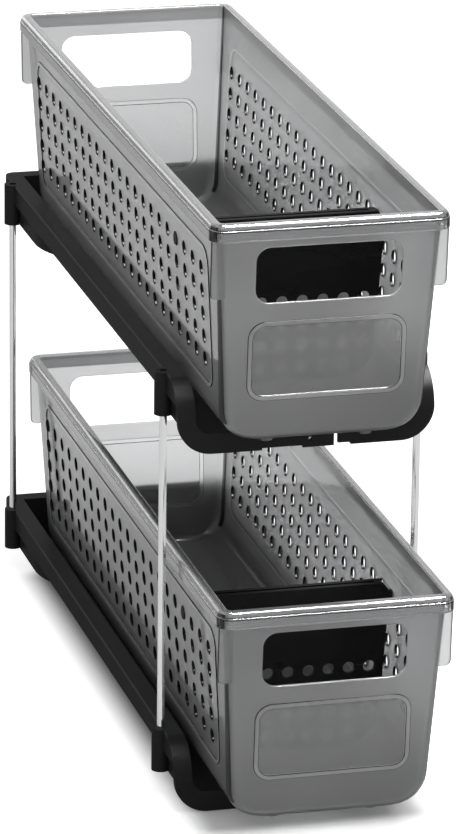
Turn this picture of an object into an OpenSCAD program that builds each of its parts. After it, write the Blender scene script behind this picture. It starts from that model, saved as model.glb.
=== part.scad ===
// Two-tier pull-out cabinet organiser: two trays on four steel posts,
// each tray carrying a sliding basket with a swinging divider.
// Millimetres, +Z up, the baskets pull out towards -Y.

/* [Tray] */
// Length of a tray from its front face to its back face
tray_len = 413; // [300:1:520]
// Height of a tray's side rails above the surface it stands on
rail_h = 36.5; // [32:0.5:44]
// Width of the flat top of a side rail
rail_w = 9.5; // [7.5:0.5:12]
// Thickness of the moulded tray walls and floor
tray_wall = 2.4; // [1.6:0.1:3]
// Height of the tray floor above the surface it stands on
floor_z = 11; // [8:0.5:13]
// Height of the skirt that hangs from the outer edge of the rails
skirt_h = 11; // [6:0.5:14]
// Radius of the lower outer corners of the front face
face_corner_r = 18; // [12:0.5:20]
// Radius with which the rails roll down at the front
front_roll_r = 21; // [15:0.5:22]
// Radius of the back corners seen from above
back_corner_r = 6; // [3:0.5:9]
// Radius of the inner corners between floor and side walls
floor_fillet_r = 7.5; // [4:0.5:9]
// Radius that softens the outer top edge of the rails
rail_edge_r = 1.2; // [0.5:0.1:2]
// Distance between the two foot ribs under the floor
foot_rib_pitch = 88; // [60:1:92]
// Width of the ground pads under the front lip
pad_w = 26.5; // [18:0.5:30]
// How far the front lip is raised between its ground pads
pad_h = 1.2; // [0.6:0.1:2]
// Width of the narrow slot in the front lip
lip_slot_w = 2.2; // [1.5:0.1:4]
// Distance from the middle of the front lip to that slot
lip_slot_x = 14.6; // [8:0.1:18]
// Width of the middle ground pad, which ends at the slot
mid_pad_w = 18.7; // [8:0.1:24]
// Diameter of the pin-sized hole in the front lip
pin_hole_d = 2.2; // [1:0.1:3]
// Distance from the middle of the front lip to that hole
pin_hole_x = 2; // [0:0.1:6]

/* [Posts] */
// Diameter of a post
post_d = 4; // [3:0.1:5]
// Distance between the left and right post centres
post_pitch_x = 136; // [132:1:150]
// Distance from the tray front face to the front posts
post_front_y = 31; // [28:1:60]
// Distance from the back posts to the tray back face
post_back_y = 24; // [12:1:60]
// Height from one tier to the next
tier_pitch = 196; // [170:1:300]
// Outside diameter of a post boss
boss_d = 9.6; // [9:0.1:12]
// Height of a post boss
boss_h = 23.5; // [16:0.5:23.5]
// Depth of the post socket in each end of a boss
socket_depth = 10.5; // [6:0.5:10.5]
// Clearance between post and socket, on the radius
socket_clear = 0.05; // [0.02:0.01:0.1]
// Clearance between a post's end and the bottom of its socket
post_end_clear = 0.2; // [0.1:0.1:0.5]
// Length of the web that carries the back boss on the tray
boss_web_len = 72; // [50:1:90]
// Radius with which that web sweeps back into the tray
boss_web_sweep = 50; // [30:1:60]
// Distance from the post centres in to the face of the webs
boss_web_inset = 3.2; // [2:0.1:4]

/* [Basket] */
// Clear length inside the basket rim
basket_len = 434; // [340:1:520]
// Clear width inside the basket rim
basket_w = 113.5; // [104:0.5:114]
// Height of the basket without its skids
basket_h = 117.7; // [112:0.1:130]
// Wall thickness of the basket
basket_wall = 1.8; // [1.4:0.1:2]
// Slope of the side walls
side_draft = 3; // [2:0.1:4]
// Slope of the front and back walls
end_draft = 4; // [2:0.1:5]
// Radius of the upright corners at the rim
top_corner_r = 5; // [3:0.5:7]
// Radius of the long bottom edges
bottom_r = 17; // [12:0.5:20]
// Radius of the bottom edge under the front and back walls
toe_r = 5; // [3:0.5:7]
// How far the rim stands out from the clear opening
rim_out = 5.75; // [4.8:0.05:6]
// Height of the rim
rim_h = 9; // [8:0.1:13]
// Height of the rim's upper part, above the band along its lower edge
rim_cap_h = 3.2; // [2:0.1:4]
// How far the band stands out from the rim's upper part
rim_band_step = 0.6; // [0.3:0.1:1]
// Height of the fins below the rim at each corner
fin_h = 31.2; // [15:0.1:40]
// Distance from the rim's outermost edge in to the edge of a fin
fin_inset = 1; // [0.6:0.1:2]
// Height of the skids under the basket
skid_h = 4.8; // [4:0.1:8]
// Width of a skid
skid_w = 8; // [5:0.5:12]
// Distance from the middle to each skid
skid_x = 26; // [18:1:30]
// Height of the guide ribs on the tray floor
guide_h = 3.8; // [2:0.1:5]
// Clearance between a skid and the tray floor
slide_clear = 0.2; // [0.1:0.05:0.4]
// Clearance between a skid and the guide rib beside it
guide_clear = 0.6; // [0.3:0.1:1.5]
// Gap left behind the basket when it is fully pushed in
stop_gap = 0.8; // [0.3:0.1:3]
// How far the upper basket is pulled out
pull_upper = 12; // [0:1:200]
// How far the lower basket is pulled out
pull_lower = 35; // [0:1:200]

/* [Basket openings] */
// Width of the hand openings in the front and back walls
handle_w = 76; // [50:1:84]
// Height of the hand openings
handle_h = 29.6; // [20:0.2:34]
// Distance from the rim's top to the hand openings
handle_top = 14.2; // [12.5:0.1:16]
// Corner radius of the hand openings
handle_r = 7.5; // [4:0.5:10]
// Width of the label frame below each hand opening
label_w = 82.7; // [50:0.1:88]
// Height of the label frame
label_h = 42.6; // [25:0.1:43]
// Distance from the rim's top to the label frame
label_top = 53.5; // [51:0.1:56]
// Corner radius of the label frame
label_r = 9; // [4:0.5:12]
// How far the label and side frames stand out from the walls
frame_proud = 0.5; // [0.3:0.1:0.6]
// Width of those frames' borders
frame_w = 2.6; // [1.5:0.1:3.5]
// Diameter of the holes in the side walls
hole_d = 7; // [5:0.1:8]
// Distance between holes along the basket
hole_pitch_y = 17.6; // [14:0.1:24]
// Distance between rows of holes
hole_pitch_z = 12.15; // [10:0.05:12.5]
// Distance from the inner front edge to the first column of holes
hole_first_y = 38; // [32:0.5:44]
// Distance from the rim's top to the first row of holes
hole_first_z = 33.7; // [32:0.1:34.5]
// Distance from the basket's ends to the frame round its holes
side_frame_in = 22; // [16:0.5:26]
// Outer corner radius of that frame
side_frame_r = 10; // [5:0.5:12]
// Distance from the first row of holes up to that frame's outer edge
side_frame_up = 14; // [12:0.1:15]
// Distance from the last row of holes down to it
side_frame_down = 13; // [11:0.1:14]
// Number of rows of holes
hole_rows = 5; // [3:1:5]

/* [Divider] */
// Column of holes, counted from the front, that holds the divider
divider_col = 4; // [4:1:12]
// Clearance between a divider peg and its hole, on the radius
peg_clear = 0.1; // [0.03:0.01:0.3]
// How far a peg shows outside the basket wall
peg_proud = 0.4; // [0.1:0.1:1.5]
// Thickness of the divider plate
plate_t = 2; // [1.4:0.1:3]
// Depth of the grip bar along the top of the divider
bar_t = 8; // [6:0.5:12]
// Height of the grip bar above the peg centres
bar_rise = 9; // [7:0.5:12]
// Clearance between the divider and the basket walls
divider_clear = 0.7; // [0.6:0.1:2]
// Clearance between the divider and the basket floor
divider_floor_clear = 2; // [1:0.5:5]
// Diameter of the round holes in the divider
vent_d = 6.4; // [4:0.1:8]
// Distance between those holes along a row
vent_pitch_x = 11; // [9:0.5:16]
// Distance between rows of those holes
vent_pitch_z = 12; // [9:0.5:16]
// Distance from the rim's top to the first row of those holes
vent_first_z = 71.5; // [60:0.5:80]

/* [Hidden] */
eps = 0.01;
over = 1;
smooth = 96;
corner_fn = 32;

// Tray, worked out
post_x = post_pitch_x / 2;
tray_half = post_x;
bay_half = tray_half - rail_w;
boss_z = rail_h - boss_h;
face_depth = tray_wall + 0.6;
peg_d = hole_d - 2 * peg_clear;
socket_r = post_d / 2 + socket_clear;
front_post_y = post_front_y;
back_post_y = tray_len - post_back_y;
pad_out = tray_half - face_corner_r;
pads = [
    [-pad_out, -pad_out + pad_w],
    [lip_slot_x + lip_slot_w - mid_pad_w, lip_slot_x + lip_slot_w],
    [pad_out - pad_w, pad_out]
];

// Basket, worked out
half_top = basket_w / 2;
side_slope = tan(side_draft);
end_slope = tan(end_draft);
floor_t = basket_wall;
rim_z = floor_z + slide_clear + skid_h + basket_h;
rail_depth = rim_z - rail_h;
hole_cols = floor((basket_len - side_frame_in - hole_d / 2 - hole_first_y) / hole_pitch_y) + 1;
back_wall_y = basket_len + basket_wall - end_slope * rail_depth;
basket_closed_y = tray_len - rail_w - stop_gap - back_wall_y;
upper_y = basket_closed_y - pull_upper;
lower_y = basket_closed_y - pull_lower;
divider_y = hole_first_y + (divider_col - 1) * hole_pitch_y;

// Whole object: origin under the middle of its box
front_most = min(upper_y, lower_y) - rim_out;
back_most = max(tray_len, max(upper_y, lower_y) + basket_len + rim_out);
mid_y = (front_most + back_most) / 2;

// Half width of the inside of the basket at a depth below the rim
function inner_half(depth) = half_top - side_slope * depth;

// Rectangle centred on the origin with rounded corners
module round_rect(w, h, r, fn = smooth) {
    square([w - 2 * r, h], center = true);
    square([w, h - 2 * r], center = true);
    for (x = [-1, 1], y = [-1, 1])
        translate([x * (w / 2 - r), y * (h / 2 - r)]) circle(r = r, $fn = fn);
}

// Extrudes a shape drawn in X and Z from one Y to another
module along_y(y0, y1) {
    translate([0, y1, 0]) rotate([90, 0, 0]) linear_extrude(height = y1 - y0) children();
}

// Extrudes a shape drawn in Y and Z across the given half width
module across_x(half) {
    translate([-half, 0, 0]) rotate([90, 0, 90]) linear_extrude(height = 2 * half) children();
}

// ---------- Tray ----------

// Front outline of the tray: soft top edges and rounded lower corners
module face_outline() {
    r = face_corner_r;
    e = rail_edge_r;
    translate([-tray_half, r]) square([2 * tray_half, rail_h - e - r]);
    translate([-tray_half + e, r]) square([2 * (tray_half - e), rail_h - r]);
    translate([-tray_half + r, 0]) square([2 * (tray_half - r), r + eps]);
    for (s = [-1, 1]) {
        translate([s * (tray_half - r), r]) circle(r = r, $fn = smooth);
        translate([s * (tray_half - e), rail_h - e]) circle(r = e, $fn = smooth);
    }
}

// Side outline of the tray, its rails rolled down at the front; inset gives its inner surface
module side_outline(inset) {
    roll = front_roll_r - inset;
    centre_z = rail_h - front_roll_r;
    translate([front_roll_r, -inset]) square([tray_len - front_roll_r - inset, rail_h]);
    translate([inset, -over]) square([roll + eps, centre_z + over]);
    intersection() {
        translate([front_roll_r, centre_z]) circle(r = roll, $fn = smooth);
        translate([inset, -over]) square([roll + eps, rail_h + over]);
    }
}

// Plan of the tray with rounded back corners; inset gives its inner surface
module plan_outline(inset) {
    r = back_corner_r - inset;
    half = tray_half - inset;
    back = tray_len - inset;
    translate([-half, inset]) square([2 * half, back - r - inset]);
    translate([-half + r, inset]) square([2 * (half - r), back - inset]);
    for (s = [-1, 1]) translate([s * (half - r), back - r]) circle(r = r, $fn = smooth);
}

// Rails, skirt and front face, open underneath
module rail_shell() {
    difference() {
        intersection() {
            along_y(0, tray_len) face_outline();
            across_x(tray_half + over) side_outline(0);
            linear_extrude(height = rail_h + over) plan_outline(0);
        }
        intersection() {
            across_x(tray_half) side_outline(tray_wall);
            translate([0, 0, -over])
                linear_extrude(height = rail_h - tray_wall + over) plan_outline(tray_wall);
        }
        translate([-tray_half - over, face_depth, -over])
            cube([2 * (tray_half + over), tray_len, rail_h - skirt_h + over]);
    }
}

// Section of the trough at a distance outside its clear inside
module trough_outline(grow, top) {
    r = floor_fillet_r + grow;
    half = bay_half + grow;
    low = floor_z - grow;
    translate([-half, low + r]) square([2 * half, top - low - r]);
    translate([-half + r, low]) square([2 * (half - r), top - low]);
    for (s = [-1, 1]) translate([s * (half - r), low + r]) circle(r = r, $fn = smooth);
}

// Trough under the basket, following the rolled front
module trough_body() {
    intersection() {
        along_y(0, tray_len - rail_w + tray_wall) trough_outline(tray_wall, rail_h);
        across_x(tray_half) side_outline(0);
    }
}

// Two long ribs and a back rib that stand on the ground
module foot_ribs() {
    high = floor_z - tray_wall / 2;
    back = tray_len - 2 * rail_w;
    for (s = [-1, 1])
        translate([s * foot_rib_pitch / 2 - tray_wall / 2, tray_wall / 2, 0])
            cube([tray_wall, back - tray_wall / 2, high]);
    translate([-foot_rib_pitch / 2, back - tray_wall, 0]) cube([foot_rib_pitch, tray_wall, high]);
}

// Web between a boss and the trough, from y0 back to y1; sweep rounds its front end
module boss_web(y0, y1, sweep) {
    face = post_x - boss_web_inset;
    root = bay_half + tray_wall / 2 - 4;
    reach = sweep == 0 ? 0 : sqrt(pow(sweep, 2) - pow(sweep - (face - root), 2));
    intersection() {
        translate([0, 0, boss_z]) linear_extrude(height = boss_h - tray_wall / 2) union() {
            translate([root, y0 + reach]) square([face - root, y1 - y0 - reach]);
            if (sweep > 0)
                intersection() {
                    translate([face - sweep, y0 + reach]) circle(r = sweep, $fn = 2 * smooth);
                    translate([root, y0]) square([face - root + over, reach + eps]);
                }
        }
        across_x(tray_half) side_outline(tray_wall / 2);
    }
}

// One post boss, solid
module boss_solid(y) {
    translate([post_x, y, boss_z]) cylinder(h = boss_h, d = boss_d, $fn = smooth);
}

// The two sockets of a boss, one from below and one from above
module boss_sockets(y) {
    for (z = [boss_z - over, rail_h - socket_depth])
        translate([post_x, y, z]) cylinder(h = socket_depth + over, r = socket_r, $fn = smooth);
}

// Ground pads, slot and drain hole of the front lip, as cutters
module lip_cuts() {
    for (i = [0 : len(pads) - 2])
        translate([pads[i][1], -over, -over])
            cube([pads[i + 1][0] - pads[i][1], face_depth + 2 * over, pad_h + over]);
    translate([lip_slot_x, -over, -over])
        cube([lip_slot_w, face_depth + 2 * over, floor_z - tray_wall - 1 + over]);
    translate([pin_hole_x, -over, floor_z / 2 - 1]) rotate([-90, 0, 0])
        cylinder(h = face_depth + 2 * over, d = pin_hole_d, $fn = 24);
}

// Low ribs on the floor that keep the basket's skids in line
module guide_ribs() {
    inner = skid_x + skid_w / 2 + guide_clear;
    for (s = [-1, 1])
        translate([s * (inner + tray_wall / 2) - tray_wall / 2, front_roll_r, floor_z - eps])
            cube([tray_wall, tray_len - front_roll_r - rail_w + eps, guide_h + eps]);
}

module tray() {
    difference() {
        union() {
            rail_shell();
            trough_body();
            foot_ribs();
            for (s = [0, 1]) mirror([s, 0, 0]) {
                boss_solid(front_post_y);
                boss_solid(back_post_y);
                boss_web(back_post_y - boss_web_len, back_post_y, boss_web_sweep);
                boss_web(tray_wall / 2, front_post_y, 0);
            }
        }
        along_y(-over, tray_len - rail_w) trough_outline(0, rail_h + over);
        lip_cuts();
        for (s = [0, 1]) mirror([s, 0, 0]) {
            boss_sockets(front_post_y);
            boss_sockets(back_post_y);
        }
    }
    guide_ribs();
}

// ---------- Posts ----------

module post() {
    foot_z = rail_h - socket_depth + post_end_clear;
    top_z = tier_pitch + boss_z + socket_depth - post_end_clear;
    chamfer = post_d / 8;
    translate([0, 0, foot_z + chamfer])
        cylinder(h = top_z - foot_z - 2 * chamfer, d = post_d, $fn = smooth);
    translate([0, 0, foot_z])
        cylinder(h = chamfer + eps, d1 = post_d - 2 * chamfer, d2 = post_d, $fn = smooth);
    translate([0, 0, top_z - chamfer - eps])
        cylinder(h = chamfer + eps, d1 = post_d, d2 = post_d - 2 * chamfer, $fn = smooth);
}

// ---------- Basket, with y = 0 at its inner front edge and z = 0 at its rim ----------

// Tapered tub with rounded corners: grow is how far it stands out from the basket's clear inside
module tub(grow, top) {
    bottom = basket_h - floor_t + grow;
    half_long = basket_len / 2 + grow;
    half_wide = half_top + grow;
    corner_r = top_corner_r - floor_t + grow;
    shrink = [1 - side_slope * bottom / half_wide, 1 - end_slope * bottom / half_long];
    intersection() {
        translate([0, basket_len / 2, 0]) union() {
            mirror([0, 0, 1]) linear_extrude(height = bottom + over, scale = shrink, slices = 1)
                round_rect(2 * half_wide, 2 * half_long, corner_r, corner_fn);
            if (top > 0)
                linear_extrude(height = top) round_rect(2 * half_wide, 2 * half_long, corner_r, corner_fn);
        }
        along_y(-rim_out - over, basket_len + rim_out + over)
            tub_section(half_wide, bottom, bottom_r - floor_t + grow, side_draft, top);
        across_x(half_wide + over) translate([basket_len / 2, 0])
            tub_section(half_long, bottom, toe_r - floor_t + grow, end_draft, top);
    }
}

// Section of the tub with rounded bottom edges that blend into walls of the given draft
module tub_section(half, depth, r, draft, top) {
    blend = r - 0.03;
    centre_x = half - tan(draft) * (depth - r) - blend / cos(draft);
    translate([-half - over, -depth + r]) square([2 * (half + over), depth - r + top + over]);
    translate([-centre_x, -depth]) square([2 * centre_x, r + eps]);
    for (s = [-1, 1]) translate([s * centre_x, -depth + r]) circle(r = r, $fn = smooth);
}

// Places a shape drawn in X and Z on the front (end = 0) or back (end = 1) wall, outer face at y = 0
module on_end(end) {
    translate([0, basket_len / 2, 0]) mirror([0, end, 0]) translate([0, -basket_len / 2, 0])
        translate([0, -basket_wall, 0]) rotate([end_draft, 0, 0]) children();
}

// Slopes a part along with the side wall, on the right (s = 0) or left (s = 1), outer face at x = 0
module on_side(s) {
    mirror([s, 0, 0]) translate([half_top + basket_wall, 0, 0]) rotate([0, side_draft, 0]) children();
}

module rim() {
    wide = 2 * (half_top + rim_out);
    long = basket_len + 2 * rim_out;
    r = top_corner_r + rim_out / 2;
    cap = 2 * rim_band_step;
    difference() {
        union() {
            translate([0, basket_len / 2, -rim_h])
                linear_extrude(height = rim_h) round_rect(wide - cap, long - cap, r - rim_band_step);
            translate([0, basket_len / 2, -rim_h])
                linear_extrude(height = rim_h - rim_cap_h) round_rect(wide, long, r);
        }
        hollow = basket_wall + rim_band_step;
        translate([0, basket_len / 2, -rim_h - over]) linear_extrude(height = rim_h - basket_wall + over)
            difference() {
                round_rect(wide - 2 * hollow, long - 2 * hollow, r - hollow);
                round_rect(2 * half_top, basket_len, top_corner_r - basket_wall);
            }
        translate([0, basket_len / 2, -rim_h - over])
            linear_extrude(height = rim_h + 2 * over)
                round_rect(2 * half_top, basket_len, top_corner_r - basket_wall);
    }
}

// Flat fins that brace the rim at the four corners
module fins() {
    low = rim_h + fin_h;
    reach = half_top + rim_out - fin_inset;
    root = inner_half(low) - 1;
    r = 3;
    for (e = [0, 1], s = [0, 1]) mirror([s, 0, 0]) on_end(e)
        along_y(0, basket_wall) {
            translate([root, -low + r]) square([reach - root, fin_h - r + over]);
            translate([root, -low]) square([reach - root - r, fin_h]);
            translate([reach - r, -low + r]) circle(r = r, $fn = smooth);
        }
}

module side_holes() {
    reach = half_top + 2 * basket_wall;
    for (i = [0 : hole_cols - 1], j = [0 : hole_rows - 1])
        translate([-reach, hole_first_y + i * hole_pitch_y, -hole_first_z - j * hole_pitch_z])
            rotate([0, 90, 0]) cylinder(h = 2 * reach, d = hole_d, $fn = smooth / 2);
}

module hand_openings() {
    for (e = [0, 1]) on_end(e) along_y(-2 * basket_wall, 3 * basket_wall)
        translate([0, -handle_top - handle_h / 2]) round_rect(handle_w, handle_h, handle_r);
}

// Border of a frame with rounded corners
module frame_outline(w, h, r) {
    difference() {
        round_rect(w, h, r);
        round_rect(w - 2 * frame_w, h - 2 * frame_w, r - frame_w);
    }
}

// Raised frames: one for a label on each end, one round the holes on each side
module frames() {
    sink = basket_wall / 3;
    for (e = [0, 1]) on_end(e) along_y(-frame_proud, sink)
        translate([0, -label_top - label_h / 2]) frame_outline(label_w, label_h, label_r);
    high = side_frame_up + (hole_rows - 1) * hole_pitch_z + side_frame_down;
    middle = hole_first_z - side_frame_up + high / 2;
    for (s = [0, 1]) on_side(s)
        translate([-sink, basket_len / 2, -middle]) rotate([90, 0, 90])
            linear_extrude(height = frame_proud + sink)
                frame_outline(basket_len - 2 * side_frame_in, high, side_frame_r);
}

// Skids under the floor, rounded at both ends so that they ride up easily
module skids() {
    y0 = end_slope * basket_h + toe_r + 6;
    y1 = basket_len - y0;
    r = skid_w / 2;
    for (s = [-1, 1]) translate([s * skid_x, 0, -basket_h - skid_h])
        linear_extrude(height = skid_h + floor_t / 2) {
            translate([-r, y0 + r]) square([skid_w, y1 - y0 - 2 * r]);
            for (y = [y0 + r, y1 - r]) translate([0, y]) circle(r = r, $fn = smooth);
        }
}

module basket() {
    difference() {
        union() {
            tub(basket_wall, 0);
            rim();
            fins();
            frames();
            skids();
        }
        tub(0, over);
        side_holes();
        hand_openings();
    }
}

// ---------- Divider, in the basket's frame ----------

// Plate below the grip bar, shaped to the inside of the basket
module divider_plate() {
    top = hole_first_z + 1;
    low = basket_h - floor_t - divider_floor_clear;
    r = bottom_r;
    half_u = inner_half(top) - divider_clear;
    half_l = inner_half(low) - divider_clear;
    difference() {
        along_y(divider_y - plate_t / 2, divider_y + plate_t / 2)
            union() {
                polygon([[-half_u, -top], [half_u, -top], [half_l, -low + r], [-half_l, -low + r]]);
                translate([-half_l + r, -low]) square([2 * (half_l - r), r + eps]);
                for (s = [-1, 1]) translate([s * (half_l - r), -low + r]) circle(r = r, $fn = smooth);
            }
        rows = floor((low - vent_first_z - vent_d) / vent_pitch_z) + 1;
        for (j = [0 : rows - 1]) {
            depth = vent_first_z + j * vent_pitch_z;
            drop = max(0, depth - (low - r));
            half = inner_half(depth) - divider_clear - r + sqrt(r * r - drop * drop);
            cols = floor((half - vent_d) / vent_pitch_x);
            for (i = [-cols : cols])
                translate([i * vent_pitch_x, divider_y, -depth]) rotate([90, 0, 0])
                    cylinder(h = plate_t + over, d = vent_d, center = true, $fn = smooth / 2);
        }
    }
}

// Grip bar with chamfered top ends and a groove along its top
module divider_bar() {
    half = inner_half(hole_first_z + bar_t / 2) - divider_clear;
    chamfer = [4, 5];
    rise = bar_rise;
    difference() {
        along_y(divider_y - bar_t / 2, divider_y + bar_t / 2)
            translate([0, -hole_first_z])
                polygon([
                    [-half, -1.5], [half, -1.5], [half, rise - chamfer[1]], [half - chamfer[0], rise],
                    [-half + chamfer[0], rise], [-half, rise - chamfer[1]]
                ]);
        translate([0, divider_y, -hole_first_z + rise])
            cube([2 * (half - 2 * chamfer[0]), bar_t / 4, 2], center = true);
    }
}

module divider_pegs() {
    tip = inner_half(hole_first_z) + basket_wall + peg_proud;
    root = inner_half(hole_first_z + bar_t / 2) - divider_clear - 2;
    for (s = [0, 1]) mirror([s, 0, 0])
        translate([root, divider_y, -hole_first_z]) rotate([0, 90, 0])
            cylinder(h = tip - root, d = peg_d, $fn = smooth);
}

module divider() {
    divider_bar();
    divider_plate();
    divider_pegs();
}

// ---------- Sub-parts in place ----------

// Moves a part from the tray's frame to the object's frame, on a tier
module place(tier) {
    translate([0, -mid_y, tier * tier_pitch]) children();
}

module lower_tray() { color("#1f1f20") place(0) tray(); }
module upper_tray() { color("#1f1f20") place(1) tray(); }
module post_front_left() { color("silver") place(0) translate([-post_x, front_post_y, 0]) post(); }
module post_front_right() { color("silver") place(0) translate([post_x, front_post_y, 0]) post(); }
module post_back_left() { color("silver") place(0) translate([-post_x, back_post_y, 0]) post(); }
module post_back_right() { color("silver") place(0) translate([post_x, back_post_y, 0]) post(); }
module lower_basket() { color("#7c7c7c") place(0) translate([0, lower_y, rim_z]) basket(); }
module upper_basket() { color("#7c7c7c") place(1) translate([0, upper_y, rim_z]) basket(); }
module lower_divider() { color("#161616") place(0) translate([0, lower_y, rim_z]) divider(); }
module upper_divider() { color("#161616") place(1) translate([0, upper_y, rim_z]) divider(); }

lower_tray();
upper_tray();
post_front_left();
post_front_right();
post_back_left();
post_back_right();
lower_basket();
upper_basket();
lower_divider();
upper_divider();
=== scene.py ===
"""Two-tier pull-out cabinet organiser: perforated baskets sliding on trays joined by steel posts."""

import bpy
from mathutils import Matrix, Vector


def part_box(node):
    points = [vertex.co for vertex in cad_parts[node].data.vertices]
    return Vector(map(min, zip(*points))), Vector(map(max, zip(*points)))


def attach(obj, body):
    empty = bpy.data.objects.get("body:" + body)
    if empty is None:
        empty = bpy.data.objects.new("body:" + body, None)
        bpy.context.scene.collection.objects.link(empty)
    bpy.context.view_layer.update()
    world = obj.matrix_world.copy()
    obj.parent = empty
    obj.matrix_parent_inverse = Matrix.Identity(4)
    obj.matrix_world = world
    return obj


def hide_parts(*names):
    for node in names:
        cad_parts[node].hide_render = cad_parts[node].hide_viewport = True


bl_info = {
    "name": "Pull-out cabinet organiser",
    "version": (1, 0, 0),
    "blender": (4, 5, 0),
    "location": "View3D > Sidebar > Organiser",
    "description": "Models the see-through baskets and finishes the trays, posts and dividers",
    "category": "Object",
}

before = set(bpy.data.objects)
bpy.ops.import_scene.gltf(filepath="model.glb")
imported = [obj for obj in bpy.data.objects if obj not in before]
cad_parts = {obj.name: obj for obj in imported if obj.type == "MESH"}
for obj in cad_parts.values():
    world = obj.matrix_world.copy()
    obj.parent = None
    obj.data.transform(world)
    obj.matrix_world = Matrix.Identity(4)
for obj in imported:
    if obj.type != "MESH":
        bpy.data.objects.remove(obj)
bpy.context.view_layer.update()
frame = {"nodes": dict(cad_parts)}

import math

import bmesh
import bpy
from mathutils import Matrix, Vector

TIERS = ("lower", "upper")
TRAYS = ("lower_tray", "upper_tray")
POSTS = ("post_front_left", "post_front_right", "post_back_left", "post_back_right")
DIVIDERS = ("lower_divider", "upper_divider")

# Slots of a basket while it is modelled, and the marks that its faces keep for the finish to read
BASKET_SLOTS = ("smoky plastic", "hole wall", "label field", "raised frame")
PLAIN, PAINTED_SHADE, FIELD, PAINTED_HIGHLIGHT = range(4)
FACE_MARKS = ("label field", "raised frame", "clear rim", "painted edge shade", "dull floor")


# ---------- Sizes and colours a user would change ----------

def length(label, about, value):
    """A length property, shown in the scene's units."""
    return bpy.props.FloatProperty(name=label, description=about, default=value, min=0.0,
                                   subtype="DISTANCE", unit="LENGTH")


def angle(label, about, degrees):
    """An angle property."""
    return bpy.props.FloatProperty(name=label, description=about, default=math.radians(degrees),
                                   subtype="ANGLE", unit="ROTATION")


def shade(label, about, value):
    """A colour property."""
    return bpy.props.FloatVectorProperty(name=label, description=about, default=value, size=3,
                                         min=0.0, max=1.0, subtype="COLOR")


def amount(label, about, value, high=1.0):
    """A plain number property."""
    return bpy.props.FloatProperty(name=label, description=about, default=value, min=0.0, max=high)


def count(label, about, value):
    """A whole number property."""
    return bpy.props.IntProperty(name=label, description=about, default=value, min=1)


class BasketSizes(bpy.types.PropertyGroup):
    """Sizes of a basket, measured from its inner front edge and the top of its rim"""
    inner_length: length("Length", "Clear length inside the rim", 0.434)
    inner_width: length("Width", "Clear width inside the rim", 0.1135)
    height: length("Height", "Height without the skids", 0.1177)
    wall: length("Wall", "Thickness of the walls and floor", 0.0018)
    side_draft: angle("Side slope", "Slope of the side walls", 3)
    end_draft: angle("End slope", "Slope of the front and back walls", 4)
    rim_out: length("Rim width", "How far the rim stands out from the clear opening", 0.00575)
    rim_height: length("Rim height", "Height of the rim", 0.009)
    cap_height: length("Rim cap height", "Height of the rim's upper part, above its band", 0.0032)
    band_step: length("Rim band step", "How far the band stands out from the rim's upper part", 0.0006)
    rim_round: length("Rim rounding", "Radius of the rim's outer top edge", 0.0026)
    band_round: length("Band rounding", "Radius of the edges of the rim's band", 0.0004)
    band_line: length("Band line", "Height of the dark line along the top of the rim's band", 0.0006)
    lip_round: length("Lip rounding", "Radius of the rim's inner top edge", 0.0006)
    rim_corner: length("Rim corner", "Radius of the rim's outer corners", 0.0082)
    foot_corner: length("Foot corner", "Radius of the upright inner corners near the floor", 0.0065)
    long_round: length("Long bottom rounding", "Inner radius of the long bottom edges", 0.0152)
    toe_round: length("Toe rounding", "Inner radius of the front and back bottom edges", 0.0032)
    fin_height: length("Fin height", "Height of the corner fins below the rim", 0.0312)
    fin_inset: length("Fin inset", "From the rim's outermost edge in to the edge of a fin", 0.001)
    skid_height: length("Skid height", "Height of the skids under the floor", 0.0048)
    skid_width: length("Skid width", "Width of a skid", 0.008)
    skid_offset: length("Skid offset", "Distance from the middle to a skid", 0.026)
    edge_round: length("Opening rounding", "Radius of the edges of the hand openings", 0.0006)
    frame_proud: length("Frame height", "How far the label and side frames stand out", 0.0005)
    frame_border: length("Frame border", "Width of the frames' borders", 0.0026)


class OpeningSizes(bpy.types.PropertyGroup):
    """Sizes of the openings and frames on a basket's walls"""
    hand_width: length("Hand opening width", "Width of the hand openings", 0.076)
    hand_height: length("Hand opening height", "Height of the hand openings", 0.0296)
    hand_top: length("Hand opening drop", "From the rim's top to the hand openings", 0.0142)
    hand_corner: length("Hand opening corner", "Corner radius of the hand openings", 0.0075)
    label_width: length("Label width", "Width of the label frame", 0.0827)
    label_height: length("Label height", "Height of the label frame", 0.0426)
    label_top: length("Label drop", "From the rim's top to the label frame", 0.0535)
    label_corner: length("Label corner", "Corner radius of the label frame", 0.009)
    side_inset: length("Side frame inset", "From the basket's ends to the frame round its holes", 0.022)
    side_top: length("Side frame drop", "From the rim's top to that frame", 0.0197)
    side_height: length("Side frame height", "Height of that frame", 0.0756)
    side_corner: length("Side frame corner", "Corner radius of that frame", 0.010)
    side_step: length("Inner side step", "Depth of the step inside the walls behind that frame", 0.0002)
    hole: length("Hole", "Diameter of the holes in the side walls", 0.007)
    hole_edge: length("Hole edge", "Width of the eased edge of a hole", 0.00045)
    pitch_along: length("Hole pitch", "Distance between holes along the basket", 0.0176)
    pitch_down: length("Row pitch", "Distance between rows of holes", 0.01215)
    first_along: length("First hole", "From the inner front edge to the first column", 0.038)
    first_down: length("First row", "From the rim's top to the first row", 0.0337)
    columns: count("Columns", "Number of columns of holes", 22)
    rows: count("Rows", "Number of rows of holes", 5)


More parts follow.
